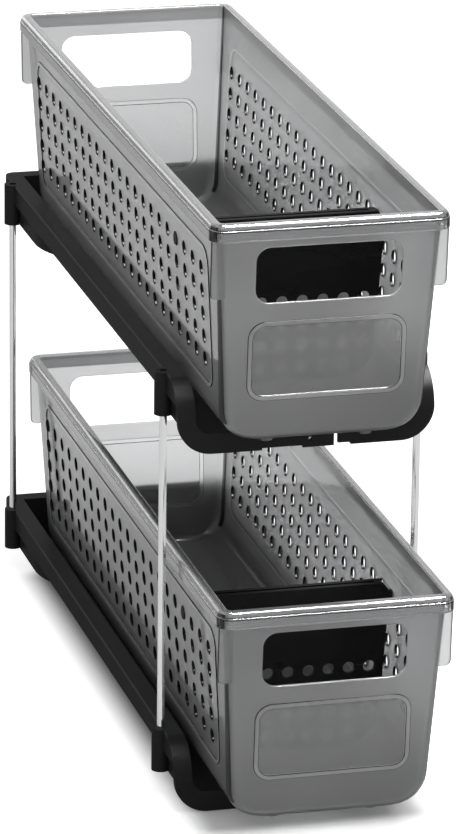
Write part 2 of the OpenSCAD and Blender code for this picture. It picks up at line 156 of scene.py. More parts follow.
class FinishSettings(bpy.types.PropertyGroup):
    """Colours and surface qualities of the finishes"""
    smoke: shade("Basket", "Colour of the smoky basket plastic", (0.66, 0.664, 0.67))
    # Painted highlight: the raised frames' faces and the inner steps' slopes take this pale colour
    frame: shade("Frames", "Colour of the raised frames", (1.0, 1.0, 1.0))
    smoke_clear: amount("Basket clearness", "How much light passes through the basket plastic", 0.83)
    smoke_haze: amount("Basket haze", "How much the basket plastic blurs what is behind it", 0.55)
    smoke_depth: amount("Basket smoke", "How quickly light dies in the plastic, per metre", 130.0, 1000.0)
    # Painted shade: the basket's colour is darkened towards each floor, where shade falls
    deep: amount("Basket depth", "How much of its colour the basket keeps near its floor", 0.6)
    floor_shade_reach: length("Depth height", "Height over the underside where the colour is full", 0.075)
    # Painted shade along the basket's upright corners, fin edges and two lines round the rim
    edge_painted_shade: amount("Dark edges", "How much of its colour the basket keeps along its edges", 0.12)
    smoke_gloss: amount("Basket gloss", "Roughness of the polish on the basket plastic", 0.06)
    # Painted shade: near-black on the hole walls and the frames' steps, for the dark seen in holes and along
    # the plastic's cut edges
    hole_painted_shade: shade("Hole wall", "Colour seen through the thickness of the plastic", (0.004, 0.004, 0.0045))
    tray: shade("Tray", "Colour of the tray plastic", (0.014, 0.014, 0.0145))
    tray_gloss: amount("Tray roughness", "Roughness of the tray plastic", 0.5)
    divider: shade("Divider", "Colour of the divider plastic", (0.003, 0.003, 0.0032))
    steel: shade("Posts", "Colour of the plated steel posts", (0.86, 0.86, 0.87))
    soft_edge: length("Soft edge", "Rounding of the moulded edges of trays and dividers", 0.00035)


class StageSettings(bpy.types.PropertyGroup):
    """Camera, floor and surround"""
    camera: bpy.props.FloatVectorProperty(name="Camera", description="Place of the camera", size=3,
                                          default=(-0.7302, -2.7883, 1.1034),
                                          subtype="TRANSLATION", unit="LENGTH")
    heading: angle("Heading", "Camera heading from straight ahead to the right", 14.77)
    tilt: angle("Tilt", "Camera tilt downwards", 18.18)
    roll: angle("Roll", "Camera roll", 0.68)
    lens: amount("Lens", "Focal length in millimetres for a sensor 36 mm high", 241.4, 1000.0)
    floor: shade("Floor", "Colour of the floor", (0.72, 0.72, 0.72))
    lift: amount("Floor lift", "How far the floor is lifted towards white beside the object", 0.75, 2.0)
    # Painted shadow: the floor is left unlifted round the object's footprint, and the lift fades in beside it
    painted_shadow_half_x: length("Footprint width", "Half the width of the floor that isn't lifted", 0.05)
    painted_shadow_half_y: length("Footprint length", "Half the length of the floor that isn't lifted", 0.195)
    fade: length("Lift fade", "Distance over which the lift of the floor begins", 0.021)
    # Painted glow: the floor is lifted further near the object where it is seen through plastic
    glow: amount("Floor glow", "Further lift of the floor where it is seen through plastic", 0.45, 2.0)
    glow_near: length("Glow start", "Distance at which that glow starts to fade", 0.2)
    glow_far: length("Glow end", "Distance at which that glow is gone", 1.2)
    sky: amount("Surround", "Strength of the plain surround", 0.45, 2.0)


# ---------- Mesh helpers ----------

MERGE = 1e-6  # points closer than this are made one
SAME = 1e-7  # heights closer than this count as one
LARGE_FACES = 80  # how far, of 100, the large faces rule the shading of a bend


def only(obj):
    """Selects one object alone and makes it active."""
    bpy.ops.object.select_all(action="DESELECT")
    obj.select_set(True)
    bpy.context.view_layer.objects.active = obj


def settle(obj):
    """Puts an object's place, turn and scale into its mesh."""
    only(obj)
    bpy.ops.object.transform_apply(location=True, rotation=True, scale=True)


def edit(obj):
    """Opens a mesh for editing with nothing selected."""
    only(obj)
    bpy.ops.object.mode_set(mode="EDIT")
    bpy.ops.mesh.select_all(action="DESELECT")


def done():
    """Leaves edit mode."""
    bpy.ops.object.mode_set(mode="OBJECT")


def pick(obj, mode, test=lambda part: True):
    """Selects only the vertices, edges or faces that pass a test, in edit mode."""
    live = bmesh.from_edit_mesh(obj.data)
    live.select_mode = {mode}
    bpy.context.tool_settings.mesh_select_mode = (mode == "VERT", mode == "EDGE", mode == "FACE")
    for part in list(live.verts) + list(live.edges) + list(live.faces):
        part.select = False
    chosen = {"VERT": live.verts, "EDGE": live.edges, "FACE": live.faces}[mode]
    for part in [part for part in chosen if test(part)]:
        part.select = True
    live.select_flush_mode()
    bmesh.update_edit_mesh(obj.data)


def apply_modifier(obj, name):
    """Applies a modifier to its mesh."""
    only(obj)
    bpy.ops.object.modifier_apply(modifier=name)


def outward(obj):
    """Merges doubles and points all faces outwards."""
    edit(obj)
    bpy.ops.mesh.select_all(action="SELECT")
    bpy.ops.mesh.remove_doubles(threshold=MERGE)
    bpy.ops.mesh.normals_make_consistent(inside=False)
    done()


def smooth(obj, degrees):
    """Smooths gentle bends and lets the large faces rule the shading."""
    only(obj)
    bpy.ops.object.shade_smooth_by_angle(angle=math.radians(degrees))
    weights = obj.modifiers.new("Face weights", "WEIGHTED_NORMAL")
    weights.mode = "FACE_AREA_WITH_ANGLE"
    weights.keep_sharp = True
    weights.weight = LARGE_FACES
    apply_modifier(obj, "Face weights")


def combine(obj, other, operation):
    """Adds a solid to a mesh or takes it away, and removes the solid."""
    cut = obj.modifiers.new("Cut", "BOOLEAN")
    cut.object = other
    cut.operation = operation
    cut.solver = "MANIFOLD"
    apply_modifier(obj, "Cut")
    bpy.data.objects.remove(other)


def copy_of(obj, name):
    """A copy with its own mesh."""
    twin = obj.copy()
    twin.data = obj.data.copy()
    twin.name = twin.data.name = name
    bpy.context.collection.objects.link(twin)
    return twin


# ---------- Solids stepped from outline to outline ----------

class Outline:
    """A rounded rectangle at a height: half sizes, corner radius, height and middle."""

    def __init__(self, half_x, half_y, radius, z, middle=0.0):
        self.half_x, self.half_y, self.radius, self.z, self.middle = half_x, half_y, radius, z, middle


def turned(degrees):
    """Sine and cosine of each angle round a rounded edge."""
    return [(math.sin(math.radians(a)), math.cos(math.radians(a))) for a in degrees]


def panel(width, height, corner, top):
    """Outline of an opening or a frame on a wall, top being how far it lies below the rim's top."""
    return Outline(width / 2, height / 2, corner, 0, -top - height / 2)


def profiled(widest, profile):
    """Outlines of a solid: the widest one, set in and moved to each inset and height of a profile."""
    return [Outline(widest.half_x - inset, widest.half_y - inset, widest.radius - inset, z, widest.middle)
            for inset, z in profile]


def outline_plane(name, ring, steps):
    """A flat face with rounded corners, from a plane and a corner bevel."""
    bpy.ops.object.select_all(action="DESELECT")
    bpy.ops.mesh.primitive_plane_add(size=1, location=(0, ring.middle, ring.z))
    obj = bpy.context.object
    obj.name = obj.data.name = name
    obj.scale = (2 * ring.half_x, 2 * ring.half_y, 1)
    settle(obj)
    edit(obj)
    bpy.ops.mesh.select_all(action="SELECT")
    bpy.ops.mesh.bevel(offset_type="OFFSET", offset=ring.radius, segments=steps, profile=0.5,
                       affect="VERTICES")
    return obj


def choose(obj, verts, faces=()):
    """Selects exactly these vertices with the edges between them, and these faces, all by number."""
    live = bmesh.from_edit_mesh(obj.data)
    for part in list(live.faces) + list(live.edges) + list(live.verts):
        part.select = False
    for v in live.verts:
        if v.index in verts:
            v.select = True
    for e in live.edges:
        if e.verts[0].index in verts and e.verts[1].index in verts:
            e.select = True
    for f in live.faces:
        if f.index in faces:
            f.select = True
    bmesh.update_edit_mesh(obj.data, loop_triangles=False, destructive=False)


def step(obj, old, new):
    """Extrudes what is selected from one outline to the next and fits each corner to its new radius."""
    bpy.ops.mesh.extrude_region_move(TRANSFORM_OT_translate={"value": (0, 0, new.z - old.z)})
    live = bmesh.from_edit_mesh(obj.data)
    live.verts.index_update()
    live.faces.index_update()
    moved = {v.index: v.co.copy() for v in live.verts if v.select}
    faces = {f.index for f in live.faces if f.select}
    k = new.radius / old.radius
    old_x, old_y = old.half_x - old.radius, old.half_y - old.radius
    new_x, new_y = new.half_x - new.radius, new.half_y - new.radius
    for sx in (-1, 1):
        for sy in (-1, 1):
            choose(obj, {i for i, co in moved.items() if co.x * sx > 0 and (co.y - old.middle) * sy > 0})
            centre = (sx * old_x, old.middle + sy * old_y, new.z)
            shift = (sx * (new_x - old_x), new.middle - old.middle + sy * (new_y - old_y), 0)
            bpy.ops.transform.resize(value=(k, k, 1), center_override=centre)
            bpy.ops.transform.translate(value=shift)
    choose(obj, moved, faces)


def ring_steps(obj, rings):
    """Follows a list of outlines, one extrusion at a time."""
    for old, new in zip(rings, rings[1:]):
        step(obj, old, new)


def stack(name, rings, steps):
    """A solid that follows a list of outlines, left in edit mode; steps is the number in each corner."""
    obj = outline_plane(name, rings[0], steps)
    pick(obj, "FACE")
    ring_steps(obj, rings)
    return obj


def select_open_edges(obj):
    """Selects the open edges of a mesh, in edit mode."""
    pick(obj, "EDGE", lambda e: e.is_boundary)


def drop_faces_at(obj, z):
    """Deletes the faces that lie flat at a height and selects the open edges left, in edit mode."""
    pick(obj, "FACE", lambda f: all(abs(v.co.z - z) < SAME for v in f.verts))
    bpy.ops.mesh.delete(type="ONLY_FACE")
    select_open_edges(obj)


# ---------- Marks on a basket's faces ----------

# Limits on the parts of a face's normal, which tell what the face belongs to
UPRIGHT = 0.9  # least level part of the normal of an upright face
FLAT = 0.7  # least upright part of the normal of a floor face
LEVEL = 0.999  # least upright part of the normal of a face with no slope at all
FLOOR_DEPTH = 0.8  # share of the height below which a flat face belongs to the floor
FIN_EDGE = 0.3  # least sideways part of the normal along the edge of a fin
TUB_CORNER = (0.77, 0.998)  # sideways part of the normal round the tub's upright corners
RIM_CORNER = (0.62, 0.97)  # sideways part of the normal round the rim's corners
FIN_PAINTED_SHADE = 0.12  # how much painted shade the flat faces of a fin get, next to its edges

HAIR = 0.0001  # a step too small to see, which keeps a bend in its place
SKIN = 0.00001  # how far a cutting solid passes a wall's face before it changes its size


def add_slots(obj):
    """Gives a mesh all the slots of a basket, in one order, so that cuts and joins keep them."""
    for name in BASKET_SLOTS:
        obj.data.materials.append(bpy.data.materials.get(name) or bpy.data.materials.new(name))


def assign(obj, slot_of):
    """Gives a mesh the slots of a basket and puts each face in one of them."""
    add_slots(obj)
    for face in obj.data.polygons:
        face.material_index = slot_of(face)


def painted_edge_shade(size, face):
    """How much painted shade an upright face gets, for the dark seen where light has a long way through the
    plastic.

    It is 1 at upright corners, along the edges of the fins and in two lines round the rim.
    """
    low, side = -face.center.z, abs(face.center.x)
    level = math.hypot(face.normal.x, face.normal.y)
    if level < UPRIGHT:
        return 0.0
    turn = abs(face.normal.x) / level
    if low > size.rim_height:
        if side > size.inner_width / 2 + size.wall:
            return 1.0 if turn > FIN_EDGE else FIN_PAINTED_SHADE
        return float(TUB_CORNER[0] < turn < TUB_CORNER[1])
    under_bend = size.rim_round < low < size.cap_height - HAIR
    on_band = 0 < low - size.cap_height - size.band_round < size.band_line
    corner = RIM_CORNER[0] < turn < RIM_CORNER[1] and side > size.inner_width / 2
    return float(under_bend or on_band or corner)


def mark_faces(obj, size):
    """Stores on each face what the finish reads, then leaves only plain plastic and hole walls as slots."""
    points = obj.data.vertices

    def in_rim(face):
        return -min(points[v].co.z for v in face.vertices) < size.rim_height + HAIR

    def on_floor(face):
        return abs(face.normal.z) > FLAT and -face.center.z > FLOOR_DEPTH * size.height

    tests = (lambda face: face.material_index == FIELD,
             lambda face: face.material_index == PAINTED_HIGHLIGHT,
             lambda face: face.material_index == PLAIN and in_rim(face),
             lambda face: (face.material_index == PLAIN) * painted_edge_shade(size, face),
             lambda face: face.material_index == PLAIN and on_floor(face))
    for name, test in zip(FACE_MARKS, tests):
        mark = obj.data.attributes.new(name, "FLOAT", "FACE")
        mark.data.foreach_set("value", [float(test(face)) for face in obj.data.polygons])
    for face in obj.data.polygons:
        face.material_index = PAINTED_SHADE if face.material_index == PAINTED_SHADE else PLAIN
    for name in BASKET_SLOTS[FIELD:]:
        bpy.data.materials.remove(bpy.data.materials[name])
    while len(obj.data.materials) > FIELD:
        obj.data.materials.pop()


# ---------- Basket ----------

RIM_TURNS = (15, 30, 45, 60, 75, 90)  # degrees round the rim's outer top edge
LIP_TURNS = (0, 30, 60)  # degrees round its inner top edge
BAND_TURNS = (0, 30, 60, 90)  # degrees round the edges of its band
HAND_TURNS = (30, 60, 90)  # degrees round the edges of a hand opening
WALL_RINGS = (0.02, 0.06)  # how far below the top the straight walls have outlines of their own
LONG_TURNS = (3, 15, 28, 40)  # degrees down round the long bottom edges
TOE_TURNS = (4, 25, 45, 62, 76, 90)  # degrees down round the front and back bottom edges
TOE_CLEAR = 0.0003  # least height between the last of the long turns and the first of the toe's
FRAME_SLOPE = 0.6  # width and height of the eased edge of a frame, as a share of its height
HIGHLIGHT_SLOPE = 5.5  # width of the sloped edge of the inner step, which carries a painted highlight, as a multiple of its depth
FIELD_THIN = 0.00022  # how much the label field is thinned on each face of the wall
FIELD_INSET = 0.0004  # how far inside the frame's outer edge the inner face is thinned
SKID_END = 0.98  # radius of the ends of a skid, as a share of half its width
BASKET_BEND = 40  # degrees of bend up to which a basket's faces are shaded as one surface


def tub_ring(size, grow, high):
    """Outline of the tub at a height above its floor.

    grow is 0 for the inside and the wall's thickness for the outside.
    """
    full = size.height - size.wall + grow
    depth = full - high

    def half(reach, draft, turn):
        foot = reach + grow - math.tan(draft) * full
        if high > turn * (1 - math.sin(draft)):
            return foot + math.tan(draft) * high
        centre = foot + turn * math.tan(draft) - turn / math.cos(draft)
        return centre + math.sqrt(max(turn ** 2 - (turn - high) ** 2, 0.0))

    top_r = size.rim_corner - size.rim_out
    radius = top_r + (size.foot_corner - top_r) * depth / size.height + grow
    middle = size.inner_length / 2
    return Outline(half(size.inner_width / 2, size.side_draft, size.long_round + grow),
                   half(middle, size.end_draft, size.toe_round + grow), radius, -depth, middle)


def rim_ring(size, inset, z):
    """Outline of the rim, inset from its outermost edge."""
    return Outline(size.inner_width / 2 + size.rim_out - inset, size.inner_length / 2 + size.rim_out - inset,
                   size.rim_corner - inset, z, size.inner_length / 2)


def tub_heights(size, grow, top):
    """Heights of the tub's outlines, from the top down to the floor."""
    deep = size.height - size.wall + grow
    turn = [(size.long_round + grow) * (1 - sin) for sin, _ in turned(LONG_TURNS)]
    toe = [(size.toe_round + grow) * (1 - sin) for sin, _ in turned(TOE_TURNS)]
    return ([deep - top] + [deep - down for down in WALL_RINGS] + turn
            + [high for high in toe if high < turn[-1] - TOE_CLEAR])


def tub_rings(size, grow, top):
    """Outlines of the inside or the outside of the tub, from a distance below its top."""
    return [tub_ring(size, grow, high) for high in tub_heights(size, grow, top)]


def model_tub(size):
    """Tub and hollow rim in one skin.

    A flat face is stepped over the rim and down to the floor, and then its edge round the rim's outside
    and down the outer walls.
    """
    r, lip, out = size.rim_round, size.lip_round, size.band_step
    start = rim_ring(size, out, -r)
    rings = [start] + [rim_ring(size, out + r * (1 - cos), -r + r * sin) for sin, cos in turned(RIM_TURNS)]
    rings += [rim_ring(size, size.rim_out - lip + lip * sin, -lip + lip * cos)
              for sin, cos in turned(LIP_TURNS)]
    obj = stack("tub", rings + tub_rings(size, 0, lip), steps=7)
    drop_faces_at(obj, start.z)
    cap, low, e, wall = size.cap_height, size.rim_height, size.band_round, size.wall
    bends = [(1 - sin, 1 - cos) for sin, cos in turned(BAND_TURNS)]
    under = [(out, cap - HAIR), (out - HAIR, cap)] + [(e * x, cap + e * z) for x, z in bends]
    under += [(0, cap + e + size.band_line)] + [(e * x, low - e * z) for x, z in reversed(bends)]
    under += [(out + wall - 2 * HAIR, low), (out + wall, low - 2 * HAIR), (out + wall, wall)]
    rings = [start] + [rim_ring(size, inset, -z) for inset, z in under]
    ring_steps(obj, rings + tub_rings(size, wall, wall + HAIR))
    select_open_edges(obj)
    bpy.ops.mesh.edge_face_add()
    done()
    outward(obj)
    return obj


def on_wall(obj, size, wall, end):
    """Moves a solid drawn flat, up along Y and outwards along Z, onto an end wall or a side wall."""
    if wall == "end":
        turn = Matrix(((1, 0, 0), (0, 0, -1), (0, 1, 0))).to_4x4()
        place = Matrix.Translation((0, -size.wall, 0)) @ Matrix.Rotation(size.end_draft, 4, "X") @ turn
        if end:
            place = Matrix.Translation((0, size.inner_length, 0)) @ Matrix.Scale(-1, 4, (0, 1, 0)) @ place
    else:
        turn = Matrix(((0, 0, 1), (1, 0, 0), (0, 1, 0))).to_4x4()
        face = Matrix.Translation((size.inner_width / 2 + size.wall, 0, 0))
        place = face @ Matrix.Rotation(size.side_draft, 4, "Y") @ turn
        if end:
            place = Matrix.Scale(-1, 4, (1, 0, 0)) @ place
    obj.matrix_world = place
    settle(obj)
    outward(obj)
    return obj


def model_frame(size, widest, x):
    """Raised border, round a label or round the holes, with a painted highlight on its face and painted shade
    along its steps.
    """
    sink, border, proud = size.wall / 3, size.frame_border, size.frame_proud
    ease = FRAME_SLOPE * proud
    outer = [(0, -sink), (0, proud - ease), (ease, proud)]
    inner = [(border - ease, proud), (border, proud - ease), (border, -sink)]
    obj = stack("frame", profiled(widest, outer + inner), steps=8)
    drop_faces_at(obj, -sink)
    bpy.ops.mesh.bridge_edge_loops()
    done()
    assign(obj, lambda face: PAINTED_HIGHLIGHT if face.center.z > proud - SKIN else PAINTED_SHADE)
    obj.location.x = x
    settle(obj)
    return obj


def model_fin(size):
    """Corner fin: a flat plate with one rounded corner, in the plane of the end wall."""
    sink, corner, ease, near = 0.001, 0.003, 0.0005, 1e-5
    low = size.rim_height + size.fin_height
    reach = size.inner_width / 2 + size.rim_out - size.fin_inset
    root = size.inner_width / 2 - math.tan(size.side_draft) * low - sink
    top = -size.rim_height + sink

    def at_tip(edge):
        return all(v.co.x > reach - near and v.co.y < -low + near for v in edge.verts)

    def free(edge):
        level = len({round(v.co.z, 5) for v in edge.verts}) == 1
        in_rim = all(v.co.y > top - near for v in edge.verts)
        in_wall = all(v.co.x < root + near for v in edge.verts)
        return level and not in_rim and not in_wall

    bpy.ops.object.select_all(action="DESELECT")
    bpy.ops.mesh.primitive_cube_add(size=1, location=((root + reach) / 2, (top - low) / 2, -size.wall / 2))
    obj = bpy.context.object
    obj.name = "fin"
    obj.scale = (reach - root, top + low, size.wall)
    settle(obj)
    edit(obj)
    pick(obj, "EDGE", at_tip)
    bpy.ops.mesh.bevel(offset=corner, segments=6, affect="EDGES")
    pick(obj, "EDGE", free)
    bpy.ops.mesh.bevel(offset=ease, segments=2, affect="EDGES")
    done()
    return obj


def model_skid(size, side):
    """Skid under the floor, rounded at both ends and along its lower edge."""
    clear, ease = 0.006, 0.0008
    bend = 0.3 * ease
    front = math.tan(size.end_draft) * size.height + size.toe_round + size.wall + clear
    top, foot = -size.height + size.wall / 2, -size.height - size.skid_height
    half_x, middle = size.skid_width / 2, size.inner_length / 2
    widest = Outline(half_x, middle - front, SKID_END * half_x, top, middle)
    profile = [(0, top), (0, foot + ease), (bend, foot + bend), (ease, foot)]
    obj = stack("skid", profiled(widest, profile), steps=6)
    done()
    obj.location.x = side * size.skid_offset
    settle(obj)
    outward(obj)
    return obj


def model_field_cutter(size, widest, inner):
    """Solid that thins the label field from the outer face of the wall, or from the inner one."""
    past = 0.002
    inset, at, way = (FIELD_INSET, -size.wall, -1) if inner else (size.frame_border, 0.0, 1)
    profile = [(inset, at + way * past), (inset, at), (inset + FIELD_THIN, at - way * FIELD_THIN)]
    obj = stack("field cutter", profiled(widest, profile), steps=8)
    done()
    assign(obj, lambda face: FIELD if len(face.vertices) > 4 else PLAIN)
    return obj


def model_inner_cutter(size, widest, deep):
    """Solid that steps a rounded field into the inner face of a side wall, with a painted highlight on its
    sloped edge.
    """
    past, wide = 0.001, HIGHLIGHT_SLOPE * deep
    profile = [(-wide, -size.wall - past), (-wide, -size.wall - SKIN), (0, -size.wall + deep)]
    obj = stack("inner cutter", profiled(widest, profile), steps=8)
    done()
    assign(obj, lambda face: PLAIN if abs(face.normal.z) > LEVEL else PAINTED_HIGHLIGHT)
    obj.location.x = size.inner_length / 2
    settle(obj)
    return obj


def model_hand_cutter(size, widest):
    """Solid that opens a hand hole and rounds its edges on both faces of the wall."""
    past, e, wall = 0.002, size.edge_round, size.wall
    side = [(-e, past), (-e, 0.0)] + [(e * sin - e, -e + e * cos) for sin, cos in turned(HAND_TURNS)]
    profile = side + [(inset, -wall - z) for inset, z in reversed(side)]
    obj = stack("hand cutter", profiled(widest, profile), steps=8)
    done()
    return obj


def model_hole_cutters(size, trim):
    """Solids that open all the holes of one side wall, each with an eased edge on both faces."""
    r, e, wall, past = trim.hole / 2, trim.hole_edge, size.wall, 0.0012
    bpy.ops.object.select_all(action="DESELECT")
    bpy.ops.mesh.primitive_circle_add(vertices=16, radius=r + e, fill_type="NGON", location=(0, 0, past))
    obj = bpy.context.object
    obj.name = "hole cutters"
    settle(obj)
    edit(obj)
    pick(obj, "FACE")
    profile = ((r + e, past), (r + e, SKIN), (r, -e), (r, -wall + e), (r + e, -wall - SKIN),
               (r + e, -wall - past))
    for (old_r, old_z), (new_r, new_z) in zip(profile, profile[1:]):
        bpy.ops.mesh.extrude_region_move(TRANSFORM_OT_translate={"value": (0, 0, new_z - old_z)})
        bpy.ops.transform.resize(value=(new_r / old_r, new_r / old_r, 1), center_override=(0, 0, new_z))
    done()
    assign(obj, lambda face: PAINTED_SHADE)
    along, down = trim.pitch_along, trim.pitch_down / math.cos(size.side_draft)
    obj.location = (trim.first_along, -trim.first_down / math.cos(size.side_draft), 0)
    settle(obj)
    for name, number, shift in (("Columns", trim.columns, (along, 0, 0)), ("Rows", trim.rows, (0, -down, 0))):
        repeat = obj.modifiers.new(name, "ARRAY")
        repeat.count = number
        repeat.use_relative_offset = False
        repeat.use_constant_offset = True
        repeat.constant_offset_displace = shift
        apply_modifier(obj, name)
    return obj


def model_basket(size, trim):
    """One basket with its rim's top at height 0 and its inner front edge at Y 0."""
    label = panel(trim.label_width, trim.label_height, trim.label_corner, trim.label_top)
    side = panel(size.inner_length - 2 * trim.side_inset, trim.side_height, trim.side_corner, trim.side_top)
    hand = panel(trim.hand_width, trim.hand_height, trim.hand_corner, trim.hand_top)
    obj = model_tub(size)
    add_slots(obj)
    for end in (0, 1):
        fin = model_fin(size)
        other = copy_of(fin, "fin 2")
        other.scale.x = -1
        settle(other)
        for part in (fin, other):
            combine(obj, on_wall(part, size, "end", end), "UNION")
        combine(obj, on_wall(model_frame(size, label, 0), size, "end", end), "UNION")
        combine(obj, on_wall(model_frame(size, side, size.inner_length / 2), size, "side", end), "UNION")
        combine(obj, model_skid(size, 2 * end - 1), "UNION")
    for end in (0, 1):
        for inner in (False, True):
            combine(obj, on_wall(model_field_cutter(size, label, inner), size, "end", end), "DIFFERENCE")
        combine(obj, on_wall(model_hand_cutter(size, hand), size, "end", end), "DIFFERENCE")
        combine(obj, on_wall(model_inner_cutter(size, side, trim.side_step), size, "side", end), "DIFFERENCE")
        combine(obj, on_wall(model_hole_cutters(size, trim), size, "side", end), "DIFFERENCE")
    mark_faces(obj, size)
    smooth(obj, BASKET_BEND)
    return obj


def place_of(size, tier):
    """Inner front edge and rim height of a tier's basket, taken from the CAD."""
    low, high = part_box(f"{tier}_basket")
    return Vector((0, low[1] + size.rim_out, high[2]))


# ---------- Trays and dividers, softened from their exact shapes ----------

# Degrees of bend between two faces of a moulding
FLAT_BEND = 0.4  # up to this they are made one
SHARP_BEND = 32  # from this on their edge is rounded
SMOOTH_BEND = 34  # up to this they are shaded as one surface


def soften(part, name, width, material):
    """A merged copy of a moulded part in its finish, with its sharp edges slightly rounded."""
    obj = copy_of(bpy.data.objects[part], name)
    obj.parent = None
    only(obj)
    bpy.ops.mesh.customdata_custom_splitnormals_clear()
    edit(obj)
    bpy.ops.mesh.select_all(action="SELECT")
    bpy.ops.mesh.remove_doubles(threshold=2 * MERGE)
    bpy.ops.mesh.select_all(action="SELECT")
    bpy.ops.mesh.dissolve_limited(angle_limit=math.radians(FLAT_BEND))
    done()
    soft = obj.modifiers.new("Soft edges", "BEVEL")
    soft.width = width
    soft.segments = 2
    soft.limit_method = "ANGLE"
    soft.angle_limit = math.radians(SHARP_BEND)
    soft.miter_outer = "MITER_ARC"
    apply_modifier(obj, "Soft edges")
    smooth(obj, SMOOTH_BEND)
    obj.data.materials.clear()
    obj.data.materials.append(bpy.data.materials[material])
    return obj


# ---------- Shader nodes ----------

VALUE, COLOUR, VECTOR = "NodeSocketFloat", "NodeSocketColor", "NodeSocketVector"
GREY = (0.5, 0.5, 0.5, 1)


def group(name, inputs, outputs):
    """An empty shader node group with named sockets: its tree, its input sockets and its output node."""
    tree = bpy.data.node_groups.new(name, "ShaderNodeTree")
    for label, kind, value in inputs:
        socket = tree.interface.new_socket(name=label, in_out="INPUT", socket_type=kind)
        if value is not None:
            socket.default_value = value
    for label, kind in outputs:
        tree.interface.new_socket(name=label, in_out="OUTPUT", socket_type=kind)
    return tree, tree.nodes.new("NodeGroupInput").outputs, tree.nodes.new("NodeGroupOutput")


def feed(tree, target, values):
    """Gives each named or numbered input of a node a number, a colour or another node's socket."""
    for key, value in values.items():
        if isinstance(value, bpy.types.NodeSocket):
            tree.links.new(value, target.inputs[key])
        else:
            target.inputs[key].default_value = value


def node(tree, kind, inputs=None, **settings):
    """Adds a node with its own settings and feeds its inputs."""
    new = tree.nodes.new(kind)
    for key, value in settings.items():
        setattr(new, key, value)
    feed(tree, new, inputs or {})
    return new


def grouped(tree, name, inputs):
    """Output sockets of a placed node group."""
    return node(tree, "ShaderNodeGroup", inputs, node_tree=bpy.data.node_groups[name]).outputs


def sums(tree, operation, *values):
    """Result of a Math node."""
    return node(tree, "ShaderNodeMath", dict(enumerate(values)), operation=operation).outputs[0]


def ranged(tree, value, low, high, start=0.0, end=1.0, style="LINEAR"):
    """A value moved from the range low to high to the range start to end."""
    inputs = {"Value": value, "From Min": low, "From Max": high, "To Min": start, "To Max": end}
    return node(tree, "ShaderNodeMapRange", inputs, interpolation_type=style).outputs[0]


def noise(tree, place, scale, detail, rough=0.5):
    """Value of a Noise Texture."""
    inputs = {"Vector": place, "Scale": scale, "Detail": detail, "Roughness": rough}
    return node(tree, "ShaderNodeTexNoise", inputs).outputs[0]


def toned(tree, colour, value):
    """A colour made lighter or darker."""
    return node(tree, "ShaderNodeHueSaturation", {"Color": colour, "Value": value}).outputs[0]


def mixed(tree, factor, first, second):
    """A mix of two colours."""
    return node(tree, "ShaderNodeMix", {0: factor, 6: first, 7: second}, data_type="RGBA").outputs[2]


def object_place(tree):
    """Object coordinates of the shaded point."""
    return tree.nodes.new("ShaderNodeTexCoord").outputs["Object"]


# ---------- Finishes ----------

FIELD_CLEARER = 0.6  # share of the haze that label fields lose
RIM_CLEARER = 0.8  # share of the haze that the rim loses
POLISH_LOSS = 0.9  # share of the polish that the faces with painted edge shade, and the floor, lose


def moulded_grain():
    """Cloudy colour, cloudy gloss and fine grain of moulded plastic."""
    tree, given, out = group("Moulded grain", (
        ("Vector", VECTOR, None), ("Color", COLOUR, GREY), ("Mottle", VALUE, 0.05),
        ("Roughness", VALUE, 0.4), ("Gloss spread", VALUE, 0.05), ("Cloud scale", VALUE, 30.0),
        ("Grain scale", VALUE, 1500.0), ("Grain depth", VALUE, 1.0)),
        (("Color", COLOUR), ("Roughness", VALUE), ("Height", VALUE)))
    cloud = noise(tree, given["Vector"], given["Cloud scale"], 3.0)
    low = sums(tree, "SUBTRACT", 1.0, given["Mottle"])
    high = sums(tree, "ADD", 1.0, given["Mottle"])
    tint = toned(tree, given["Color"], ranged(tree, cloud, 0.3, 0.7, low, high))
    patch = sums(tree, "SUBTRACT", noise(tree, given["Vector"], 55.0, 4.0, 0.6), 0.5)
    gloss = sums(tree, "MULTIPLY_ADD", patch, given["Gloss spread"], given["Roughness"])
    grain = noise(tree, given["Vector"], given["Grain scale"], 2.0, 0.55)
    height = sums(tree, "MULTIPLY", grain, given["Grain depth"])
    feed(tree, out, {"Color": tint, "Roughness": gloss, "Height": height})


def handling_marks():
    """Faint scuffs and dust that make a surface rougher and a little paler in streaks."""
    tree, given, out = group("Handling marks", (
        ("Vector", VECTOR, None), ("Color", COLOUR, GREY), ("Roughness", VALUE, 0.4),
        ("Mark color", COLOUR, GREY), ("Amount", VALUE, 0.1), ("Stretch", VECTOR, (60.0, 8.0, 60.0))),
        (("Color", COLOUR), ("Roughness", VALUE)))
    stretched = {0: given["Vector"], 1: given["Stretch"]}
    along = node(tree, "ShaderNodeVectorMath", stretched, operation="MULTIPLY").outputs[0]
    streak = noise(tree, along, 1.0, 6.0, 0.7)
    much = sums(tree, "MULTIPLY", ranged(tree, streak, 0.5, 0.75), given["Amount"])
    pale = mixed(tree, much, given["Color"], given["Mark color"])
    gloss = sums(tree, "MULTIPLY_ADD", much, 0.6, given["Roughness"])
    feed(tree, out, {"Color": pale, "Roughness": gloss})


def painted_floor_shade():
    """Painted shade: colour that grows darker towards the floor of each tier."""
    tree, given, out = group("Painted floor shade", (
        ("Vector", VECTOR, None), ("Color", COLOUR, GREY), ("Foot", VALUE, 0.0), ("Tier", VALUE, 0.2),
        ("Reach", VALUE, 0.1), ("Depth", VALUE, 0.5)), (("Color", COLOUR),))
    axes = node(tree, "ShaderNodeSeparateXYZ", {0: given["Vector"]})
    high = sums(tree, "SUBTRACT", axes.outputs["Z"], given["Foot"])
    above = sums(tree, "FLOORED_MODULO", high, given["Tier"])
    value = ranged(tree, above, 0.0, given["Reach"], given["Depth"], 1.0, "SMOOTHSTEP")
    feed(tree, out, {"Color": toned(tree, given["Color"], value)})


